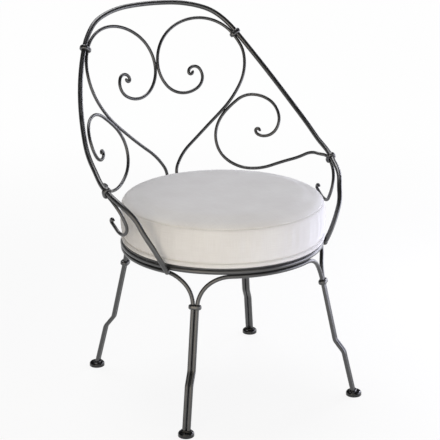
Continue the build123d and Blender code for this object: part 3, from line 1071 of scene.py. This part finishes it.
@dataclass
class SeatCushion:
    """The round boxed cushion: two panels and a side band, sewn at two seams.

    The cover is drawn as rings of points from the middle of the bottom panel, up the band, to the
    middle of the top panel. A short cloth run swells it over its filling.

    Attributes:
        pole: Radius of the smallest ring of a panel, in metres.
        shoulder: Width of the top panel's rounded edge.
        shoulder_lift: Height of that edge, as a share of the top panel's.
        crown_lift: Height of the panel's crown, as a share of the top panel's.
        crown_power: How late the crown falls off towards the seam.
        ring_crowding: Power that draws the top panel's rings to its seam.
        belly_share: Share of the band's belly that is drawn, before it swells.
        belly_power: How soon the belly is full above a seam.
        roll: Half width of the bottom panel's full, rounded edge.
        overhang: How far that edge stands out past the seam.
        slack: Share by which the cloth is cut too long, which gathers it at the seams.
        crumple: Spread of the cloth's first unevenness.
        pressure: Push of the filling.
        frames: Length of the cloth run.
        swell: Furthest that a point may move in the cloth run.
        ripples: Waves round the cover above which the firm filling presses them flat.
        tuck: Depth of the lower and the upper seam's crease.
        crease: Half width of that crease.
        gather: Height of the small puckers beside a seam.
        gather_reach: Distance from a seam at which they are highest.
        gather_waves: Sets of puckers, by their number round the cover.
        fold: Height of the soft upright folds in the band.
        fold_waves: Sets of folds, by their number round the cover.
        wave_heights: Least and greatest share of its height that a set has.
        stitch_pitch: Distance from stitch to stitch.
        stitch: Half length, half width and half height of a stitch.
        stitch_rise: Height of a stitch's middle above the crease.
        coarse: Points round the cover and rings of each panel in the cloth run.
        around: Points round the finished cover.
        finer: Finished rings for each ring of a panel.
        near_seam: Places of the rings beside a seam, in rings of the cloth run.
        seed: Fixed seed of the puckers and of the cloth's first unevenness.
    """

    pole: float = 4.0 * MM
    shoulder: float = 24.0 * MM
    shoulder_lift: float = 0.8
    crown_lift: float = 0.4
    crown_power: int = 4
    ring_crowding: float = 1.35
    belly_share: float = 0.6
    belly_power: float = 0.7
    roll: float = 11.0 * MM
    overhang: float = 3.5 * MM
    slack: float = 0.001
    crumple: float = 0.06 * MM
    pressure: float = 4.0
    frames: int = 20
    swell: float = 3.0 * MM
    ripples: float = 14.0
    tuck: tuple[float, float] = (1.2 * MM, 2.2 * MM)
    crease: float = 2.0 * MM
    gather: float = 0.1 * MM
    gather_reach: float = 5.0 * MM
    gather_waves: tuple[int, ...] = (47, 61, 83, 104, 127)
    fold: float = 0.5 * MM
    fold_waves: tuple[int, ...] = (23, 31, 44, 58, 71)
    wave_heights: tuple[float, float] = (0.3, 0.6)
    stitch_pitch: float = 4.2 * MM
    stitch: tuple[float, float, float] = (1.5 * MM, 0.4 * MM, 0.4 * MM)
    stitch_rise: float = 0.3 * MM
    coarse: tuple[int, int, int, int] = (160, 14, 10, 24)
    around: int = 560
    finer: tuple[int, int, int] = (1, 2, 2)
    near_seam: tuple[float, ...] = (0.0, 0.1, 0.22, 0.4, 0.65)
    seed: int = 11

    def build(self) -> None:
        """Builds the cushion and its stitches, dresses them and puts them on their body."""
        rest = self._drawn()
        fine = self._refined(self._swollen(rest))
        grid, seams = self._sewn(fine)
        mesh = self._mesh("seat_cushion", grid)
        self._unroll(mesh, grid, np.array(fine.panels))
        mesh.materials.append(CottonCanvas("undyed_cotton_canvas").material())
        mesh.shade_smooth()
        piece = new_piece("seat_cushion", mesh)
        seat_piece(piece, Body.CUSHION)
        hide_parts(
            "cushion_foam",
            "cushion_top_panel",
            "cushion_side_band",
            "cushion_bottom_panel",
        )
        stitches = BeadRow("seam_stitches", self.stitch_pitch, self.stitch).build(
            seams, True, SewingThread("spun_polyester_thread").material()
        )
        seat_piece(stitches, Body.CUSHION)

    def _drawn(self) -> np.ndarray:
        """Draws the cover before it swells, from the CAD panels' boxes.

        Returns:
            Points by ring and place round it, in metres.
        """
        band_low, band_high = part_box("cushion_side_band")
        top_low, top_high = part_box("cushion_top_panel")
        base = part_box("cushion_bottom_panel")[0].z
        seam = (top_high.x - top_low.x) / 2
        low, top = band_low.z, band_high.z
        belly = (band_high.x - band_low.x) / 2 - seam
        count, below, sides, above = self.coarse

        turned = seam + self.overhang - self.roll
        seam_angle = math.acos((seam - turned) / self.roll)
        edge = np.linspace(-math.pi / 2, seam_angle, below // 2 + 1)
        half = (low - base) / 2
        tall = np.where(edge > 0, half / math.sin(seam_angle), half)
        rounded = np.stack(
            [turned + self.roll * np.cos(edge), base + half + tall * np.sin(edge)], axis=1
        )
        level = np.linspace(self.pole, turned, below - below // 2 + 1)
        under = np.stack([level, np.full_like(level, base)], axis=1)
        bottom = np.concatenate([under, rounded[1:]])

        climb = np.linspace(0.0, 1.0, sides + 1)
        bulge = self.belly_share * belly * np.sin(math.pi * climb) ** self.belly_power
        band = np.stack([seam + bulge, low + (top - low) * climb], axis=1)

        inward = (seam - self.pole) * np.linspace(0.0, 1.0, above + 1) ** self.ring_crowding
        rise = top_high.z - top
        flat = np.clip(1 - inward / self.shoulder, 0.0, 1.0)
        lift = self.shoulder_lift * rise * np.sqrt(1 - flat**2)
        lift += self.crown_lift * rise * (1 - ((seam - inward) / seam) ** self.crown_power)
        crown = np.stack([seam - inward, top + lift], axis=1)

        profile = np.concatenate([bottom, band[1:], crown[1:]])
        turns = math.pi / 2 + np.arange(count) * math.tau / count
        rings = np.empty((len(profile), count, 3))
        rings[:, :, 0] = (band_low.x + band_high.x) / 2 + profile[:, :1] * np.cos(turns)
        rings[:, :, 1] = (band_low.y + band_high.y) / 2 + profile[:, :1] * np.sin(turns)
        rings[:, :, 2] = profile[:, 1:]
        return rings

    def _swollen(self, rest: np.ndarray) -> np.ndarray:
        """Swells the cover with a short cloth run, held at its seams and where it rests.

        Args:
            rest: The drawn cover.

        Returns:
            The swollen cover, by ring and place round it.
        """
        rows, count, _ = rest.shape
        _, below, sides, _ = self.coarse
        crumpled = np.random.default_rng(self.seed).normal(0.0, self.crumple, rest.shape)
        crumpled[: below + 1] = 0.0
        crumpled[below + sides] = 0.0
        cloth = new_piece("cushion_cloth", self._mesh("cushion_cloth", rest + crumpled))
        held = cloth.vertex_groups.new(name="held")
        bottom_and_seam = list(range((below + 1) * count)) + [rows * count]
        seam = list(range((below + sides) * count, (below + sides + 1) * count))
        held.add(bottom_and_seam + seam, 1.0, "REPLACE")
        modifier = cloth.modifiers.new("Cloth", "CLOTH")
        run = modifier.settings
        run.quality = 6
        run.mass = 0.3
        run.tension_stiffness = 18
        run.compression_stiffness = 18
        run.shear_stiffness = 8
        run.bending_stiffness = 0.6
        run.use_pressure = True
        run.uniform_pressure_force = self.pressure
        run.shrink_min = -self.slack
        run.vertex_group_mass = held.name
        run.effector_weights.gravity = 0.0
        modifier.collision_settings.use_collision = False
        scene = bpy.context.scene
        for frame in range(1, self.frames + 1):
            scene.frame_set(frame)
        shown = cloth.evaluated_get(bpy.context.evaluated_depsgraph_get())
        flat = np.empty(len(shown.data.vertices) * 3, np.float32)
        shown.data.vertices.foreach_get("co", flat)
        moved = flat.reshape(-1, 3)[: rows * count].reshape(rest.shape) - rest
        waves = np.fft.rfft(moved, axis=1)
        kept = np.exp(-((np.arange(waves.shape[1]) / self.ripples) ** 2))
        moved = np.fft.irfft(waves * kept[None, :, None], n=count, axis=1)
        far = np.linalg.norm(moved, axis=2, keepdims=True)
        bpy.data.objects.remove(cloth)
        scene.frame_set(1)
        log.info("cushion swell: mean %.1f mm, most %.1f mm", far.mean() / MM, far.max() / MM)
        capped = self.swell * np.tanh(far / self.swell)
        return rest + moved * capped / np.maximum(far, TINY)

    def _refined(self, cover: np.ndarray) -> FineCover:
        """Puts more points on the cover, most of them beside the seams.

        Args:
            cover: The swollen cover.

        Returns:
            The finer cover.
        """
        wide = self._around(cover, self.around)
        parts, panels, gaps, hangs = [], [], [], []
        start = 0
        for panel, rings, finer in zip(Panel, self.coarse[1:], self.finer):
            rows = wide[start : start + rings + 1]
            start += rings
            first = [0.0] if panel is Panel.BOTTOM else self.near_seam
            last = [rings] if panel is Panel.TOP else [rings - x for x in self.near_seam[::-1]]
            inner = np.linspace(1, rings - 1, (rings - 2) * finer + 1)
            at = np.concatenate([first, inner, last])
            apart = np.linalg.norm(np.diff(rows, axis=0), axis=2).mean(axis=1)
            length = np.concatenate([[0.0], np.cumsum(apart)])
            run = np.interp(at, np.arange(rings + 1), length)
            left = length[-1] - run
            gap = {Panel.BOTTOM: left, Panel.BAND: np.minimum(run, left), Panel.TOP: run}[panel]
            hang = np.sin(math.pi * run / length[-1]) if panel is Panel.BAND else 0 * run
            # The ring on a seam is the last of the panel below it.
            skip = 0 if panel is Panel.BOTTOM else 1
            parts.append(self._between(rows, at)[skip:])
            gaps.append(gap[skip:])
            hangs.append(hang[skip:])
            panels += [panel.value] * (len(at) - 1)
        return FineCover(
            np.concatenate(parts), panels, np.concatenate(gaps), np.concatenate(hangs)
        )

    def _sewn(self, fine: FineCover) -> tuple[np.ndarray, list[np.ndarray]]:
        """Sews the seams, a crease with small puckers beside it, and lays folds in the band.

        Args:
            fine: The finer cover.

        Returns:
            The finished points by ring and place, and the two seams' stitch lines.
        """
        gap = fine.gap[:, None, None]
        normal = self._normals(fine.grid)
        rng = np.random.default_rng(self.seed)
        pucker = self._waves(self.gather_waves, rng)
        drape = self._waves(self.fold_waves, rng)
        fade = (gap / self.gather_reach) * np.exp(1 - gap / self.gather_reach)
        height = fine.grid[:, :, 2:]
        upper = height > (height.min() + height.max()) / 2
        tuck = np.where(upper, self.tuck[1], self.tuck[0])
        rise = -tuck * np.exp(-((gap / self.crease) ** 2))
        rise = rise + self.gather * fade * pucker[None, :, None]
        rise = rise + self.fold * fine.hang[:, None, None] * drape[None, :, None]
        grid = fine.grid + normal * rise
        seams = []
        for panel in (Panel.BAND, Panel.TOP):
            row = fine.panels.index(panel.value)
            seams.append(grid[row] + normal[row] * self.stitch_rise)
        return grid, seams

    def _waves(self, counts: tuple[int, ...], rng: np.random.Generator) -> np.ndarray:
        """Adds up waves that run round the cover, for puckers and folds.

        Args:
            counts: Waves round the cover, one number for each set.
            rng: Source of each set's place and height.

        Returns:
            The sum at each point round the cover.
        """
        turn = np.arange(self.around) * math.tau / self.around
        total = np.zeros(self.around)
        for count in counts:
            wave = np.sin(count * turn + rng.uniform(0, math.tau))
            total += wave * rng.uniform(*self.wave_heights)
        return total

    @staticmethod
    def _around(rows: np.ndarray, count: int) -> np.ndarray:
        """Puts more points round each ring, on a smooth line through the given ones.

        Args:
            rows: Points by ring and place round it.
            count: Points wanted round each ring.

        Returns:
            The finer rings.
        """
        waves = np.fft.rfft(rows, axis=1)
        finer = np.zeros((rows.shape[0], count // 2 + 1, 3), complex)
        finer[:, : waves.shape[1]] = waves
        return np.fft.irfft(finer, n=count, axis=1) * count / rows.shape[1]

    @staticmethod
    def _between(rows: np.ndarray, at: np.ndarray) -> np.ndarray:
        """Reads rings between the given ones on a smooth line through them.

        Args:
            rows: Points by ring and place round it.
            at: Ring numbers wanted, whole or not.

        Returns:
            The rings read.
        """
        ends = 2 * rows[:1] - rows[1:2], 2 * rows[-1:] - rows[-2:-1]
        longer = np.concatenate([ends[0], rows, ends[1]])
        index = np.minimum(at.astype(int), len(rows) - 2)
        t = (at - index)[:, None, None]
        p0, p1, p2, p3 = (longer[index + k] for k in range(4))
        return 0.5 * (
            2 * p1
            + (p2 - p0) * t
            + (2 * p0 - 5 * p1 + 4 * p2 - p3) * t**2
            + (3 * p1 - p0 - 3 * p2 + p3) * t**3
        )

    @staticmethod
    def _normals(grid: np.ndarray) -> np.ndarray:
        """Returns the outward direction at each point of the rings."""
        along = np.roll(grid, -1, axis=1) - np.roll(grid, 1, axis=1)
        up = np.gradient(grid, axis=0)
        normal = np.cross(along, up)
        return normal / np.linalg.norm(normal, axis=2, keepdims=True)

    @staticmethod
    def _mesh(name: str, grid: np.ndarray) -> Mesh:
        """Makes a closed mesh of rings.

        Args:
            name: The mesh's name.
            grid: Points by ring and place round it.

        Returns:
            The mesh, whose faces start with four-sided ones, ring by ring.
        """
        rows, count, _ = grid.shape
        points = list(map(tuple, grid.reshape(-1, 3)))
        points += [tuple(grid[0].mean(axis=0)), tuple(grid[-1].mean(axis=0))]
        under, over = rows * count, rows * count + 1
        last = (rows - 1) * count
        pairs = [(j, (j + 1) % count) for j in range(count)]
        faces = [
            (row + j, row + k, row + count + k, row + count + j)
            for row in range(0, last, count)
            for j, k in pairs
        ]
        faces += [(under, k, j) for j, k in pairs]
        faces += [(over, last + j, last + k) for j, k in pairs]
        mesh = bpy.data.meshes.new(name)
        mesh.from_pydata(points, [], faces)
        mesh.update()
        return mesh

    @staticmethod
    def _unroll(mesh: Mesh, grid: np.ndarray, panels: np.ndarray) -> None:
        """Gives the mesh its UV map, in metres of flat cloth.

        Args:
            mesh: The cover's mesh.
            grid: Its points by ring and place round it.
            panels: The panel of each band between rings.
        """
        count = grid.shape[1]
        loops = np.empty(len(mesh.loops), int)
        mesh.loops.foreach_get("vertex_index", loops)
        flat = np.empty(len(mesh.vertices) * 3, np.float32)
        mesh.vertices.foreach_get("co", flat)
        corners = flat.reshape(-1, 3)[loops]
        cloth = corners[:, :2].copy()
        radius = (grid[:, :, 0].max() - grid[:, :, 0].min()) / 2
        width = radius * math.tau / count
        place = np.repeat(np.arange(count), 4) + np.tile([0, 1, 1, 0], count)
        for i in np.nonzero(panels == Panel.BAND.value)[0]:
            ring = slice(4 * i * count, 4 * (i + 1) * count)
            cloth[ring, 0] = place * width
            cloth[ring, 1] = corners[ring, 2]
        uv = mesh.uv_layers.new(name=CottonCanvas.uv_name)
        uv.data.foreach_set("uv", cloth.ravel())


@dataclass(frozen=True)
class Softbox:
    """A soft lamp with a flat, oblong face.

    Attributes:
        name: The lamp's name.
        place: Where it stands, in metres.
        sides: Its width and height, in metres.
        power: Its power, in watts.
        colour: Its colour.
    """

    name: str
    place: tuple[float, float, float]
    sides: tuple[float, float]
    power: float
    colour: str

    def build(self, aim: Vector) -> None:
        """Adds the lamp, turned to a point.

        Args:
            aim: The point.
        """
        light = bpy.data.lights.new(self.name, "AREA")
        light.shape = "RECTANGLE"
        light.size, light.size_y = self.sides
        light.energy = self.power
        light.color = linear(self.colour)[:3]
        lamp = bpy.data.objects.new(self.name, light)
        lamp.location = self.place
        lamp.rotation_euler = (aim - lamp.location).to_track_quat("-Z", "Y").to_euler()
        bpy.context.scene.collection.objects.link(lamp)
        log.info("%s", self.name)


@dataclass
class Studio:
    """Pale floor, white surroundings, soft lamps and the photograph's camera.

    Attributes:
        azimuth: The camera's turn from straight ahead of the chair, in degrees.
        elevation: Its height angle, in degrees.
        distance: Its distance from the aim, in metres.
        aim: The point it looks at.
        lens: Its focal length, in millimetres.
        horizon: Light from level with the chair.
        overhead: Light from straight above.
        wall: Height, as the sine of its angle, at which the white walls have faded.
        floor_radius: The floor's radius, in metres.
        floor_sides: Points round the floor.
        lamps: The lamps, the two nearest ones for the legs and the seat ring.
    """

    azimuth: float = -30.08
    elevation: float = 17.51
    distance: float = 3.852
    aim: tuple[float, float, float] = (0.0, -0.0518, 0.4176)
    lens: float = 129.8
    horizon: float = 1.0
    overhead: float = 0.05
    wall: float = 0.28
    floor_radius: float = 9.0
    floor_sides: int = 96
    lamps: tuple[Softbox, ...] = (
        Softbox("front_card", (-0.45, -0.78, 0.58), (1.35, 0.9), 3.6, "#fffbf4"),
        Softbox("right_strip", (1.05, -0.45, 0.37), (1.5, 0.5), 9.5, "#ececff"),
        Softbox("right_lamp", (2.3, 0.55, 1.15), (0.9, 0.9), 20.0, "#f0f0ff"),
        Softbox("front_left_lamp", (-1.9, -1.4, 0.7), (1.1, 1.0), 6.4, "#ffe6c0"),
        Softbox("top_lamp", (0.3, 1.0, 2.8), (1.6, 1.6), 42.0, "#fdfcff"),
    )

    def build(self) -> None:
        """Builds the whole studio."""
        bpy.context.scene.view_settings.view_transform = "Standard"
        self._camera()
        self._world()
        self._floor()
        for lamp in self.lamps:
            lamp.build(Vector(self.aim))

    def _camera(self) -> None:
        """Adds the camera at the photograph's angle."""
        turn, tilt = math.radians(self.azimuth), math.radians(self.elevation)
        level = math.cos(tilt)
        back = Vector((math.sin(turn) * level, -math.cos(turn) * level, math.sin(tilt)))
        data = bpy.data.cameras.new("camera")
        data.lens = self.lens
        data.sensor_width = SENSOR_WIDTH_MM
        camera = bpy.data.objects.new("camera", data)
        camera.location = Vector(self.aim) + back * self.distance
        camera.rotation_euler = back.to_track_quat("Z", "Y").to_euler()
        bpy.context.scene.collection.objects.link(camera)
        bpy.context.scene.camera = camera

    def _world(self) -> None:
        """Gives the surroundings: white walls that fade to a dim ceiling."""
        world = bpy.data.worlds.new("white_studio")
        world.use_nodes = True
        tree = world.node_tree
        tree.nodes.clear()
        way = add_node(tree, "ShaderNodeTexCoord").outputs["Generated"]
        height = add_node(tree, "ShaderNodeSeparateXYZ", {0: way}).outputs["Z"]
        level = spread(
            tree,
            height,
            (0.0, self.wall),
            (self.horizon, self.overhead),
            interpolation_type="SMOOTHSTEP",
        )
        white = {"Color": linear("#ffffff"), "Strength": level}
        glow = step(tree, "ShaderNodeBackground", white)
        add_node(tree, "ShaderNodeOutputWorld", {"Surface": glow})
        bpy.context.scene.world = world

    def _floor(self) -> None:
        """Adds the floor, a pale disc."""
        turns = [i * math.tau / self.floor_sides for i in range(self.floor_sides)]
        ring = [
            (self.floor_radius * math.cos(t), self.floor_radius * math.sin(t), 0.0)
            for t in turns
        ]
        mesh = bpy.data.meshes.new("floor")
        mesh.from_pydata(ring, [], [tuple(range(self.floor_sides))])
        mesh.materials.append(StudioPaper("matt_white_paper").material())
        new_piece("floor", mesh)


def main() -> None:
    """Builds the dressed armchair and its studio."""
    logging.basicConfig(level=logging.INFO, format="%(name)s: %(message)s")
    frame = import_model()
    SteelFrame().dress(frame["nodes"])
    SeatCushion().build()
    Studio().build()


if __name__ == "__main__":
    main()
